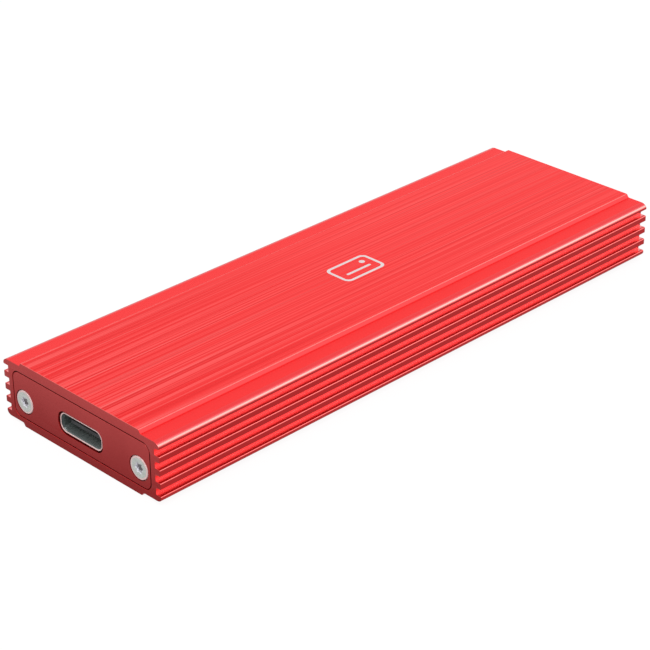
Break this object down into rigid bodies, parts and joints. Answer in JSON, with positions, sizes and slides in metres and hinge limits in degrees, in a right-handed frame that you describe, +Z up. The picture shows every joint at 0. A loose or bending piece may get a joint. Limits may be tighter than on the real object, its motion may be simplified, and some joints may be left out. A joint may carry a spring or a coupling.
{
  "type": "external solid state drive",
  "caption": "Slim ribbed aluminium case with a USB-C port, round a slide-out drawer that holds an M.2 drive card.",
  "frame": {"origin": "centre of the underside of the housing", "axes": "+Y along the housing from the end with the USB-C port to the plain end, +Z up, +X across"},
  "size_m": [0.0344, 0.107, 0.0106],
  "materials": {
    "anodised_housing": "red anodised, the raised band brushed lengthwise",
    "anodised_plate": "red anodised, fine satin",
    "screw_steel": "nickel plated, satin",
    "port_steel": "plated, drawn sheet",
    "black_plastic": "moulded, matt",
    "bridge_board": "green solder resist",
    "module_board": "black solder resist",
    "chip_resin": "moulded epoxy, matt",
    "crystal_can": "plated can",
    "ferrite": "moulded ferrite",
    "ceramic": "fired ceramic with tinned ends",
    "brass": "turned, plated",
    "silicone": "soft filled silicone pad"
  },
  "bodies": {
    "case": {"housing": "anodised_housing"},
    "drawer": {"front_end_plate": "anodised_plate", "usb_c_shell": "port_steel", "usb_c_insulator": "black_plastic", "bridge_board": "bridge_board", "bridge_chip": "chip_resin", "flash_chip": "chip_resin", "crystal": "crystal_can", "power_inductor": "ferrite", "voltage_regulator": "chip_resin", "capacitor_1": "ceramic", "capacitor_2": "ceramic", "capacitor_3": "ceramic", "capacitor_4": "ceramic", "m2_socket": "black_plastic", "m2_standoff": "brass", "module_board": "module_board", "module_controller": "chip_resin", "module_dram": "chip_resin", "module_power_chip": "chip_resin", "module_nand_1": "chip_resin", "module_nand_2": "chip_resin", "thermal_pad": "silicone"},
    "rear_cover": {"rear_end_plate": "anodised_plate"},
    "screw_front_left": {"front_screw_left": "screw_steel"},
    "screw_front_right": {"front_screw_right": "screw_steel"},
    "screw_rear_left": {"rear_screw_left": "screw_steel"},
    "screw_rear_right": {"rear_screw_right": "screw_steel"},
    "retaining_screw": {"m2_retaining_screw": "screw_steel"}
  },
  "joints": [
    {"name": "drawer_slide", "type": "slide", "parent": "case", "child": "drawer", "axis": [0, -1, 0], "range_m": [0, 0.105]},
    {"name": "rear_cover_slide", "type": "slide", "parent": "case", "child": "rear_cover", "axis": [0, 1, 0], "range_m": [0, 0.02]},
    {"name": "front_left_screw_out", "type": "slide", "parent": "drawer", "child": "screw_front_left", "axis": [0, -1, 0], "range_m": [0, 0.0065]},
    {"name": "front_right_screw_out", "type": "slide", "parent": "drawer", "child": "screw_front_right", "axis": [0, -1, 0], "range_m": [0, 0.0065]},
    {"name": "rear_left_screw_out", "type": "slide", "parent": "rear_cover", "child": "screw_rear_left", "axis": [0, 1, 0], "range_m": [0, 0.0065]},
    {"name": "rear_right_screw_out", "type": "slide", "parent": "rear_cover", "child": "screw_rear_right", "axis": [0, 1, 0], "range_m": [0, 0.0065]},
    {"name": "retaining_screw_out", "type": "slide", "parent": "drawer", "child": "retaining_screw", "axis": [0, 0, 1], "range_m": [0, 0.002]}
  ]
}
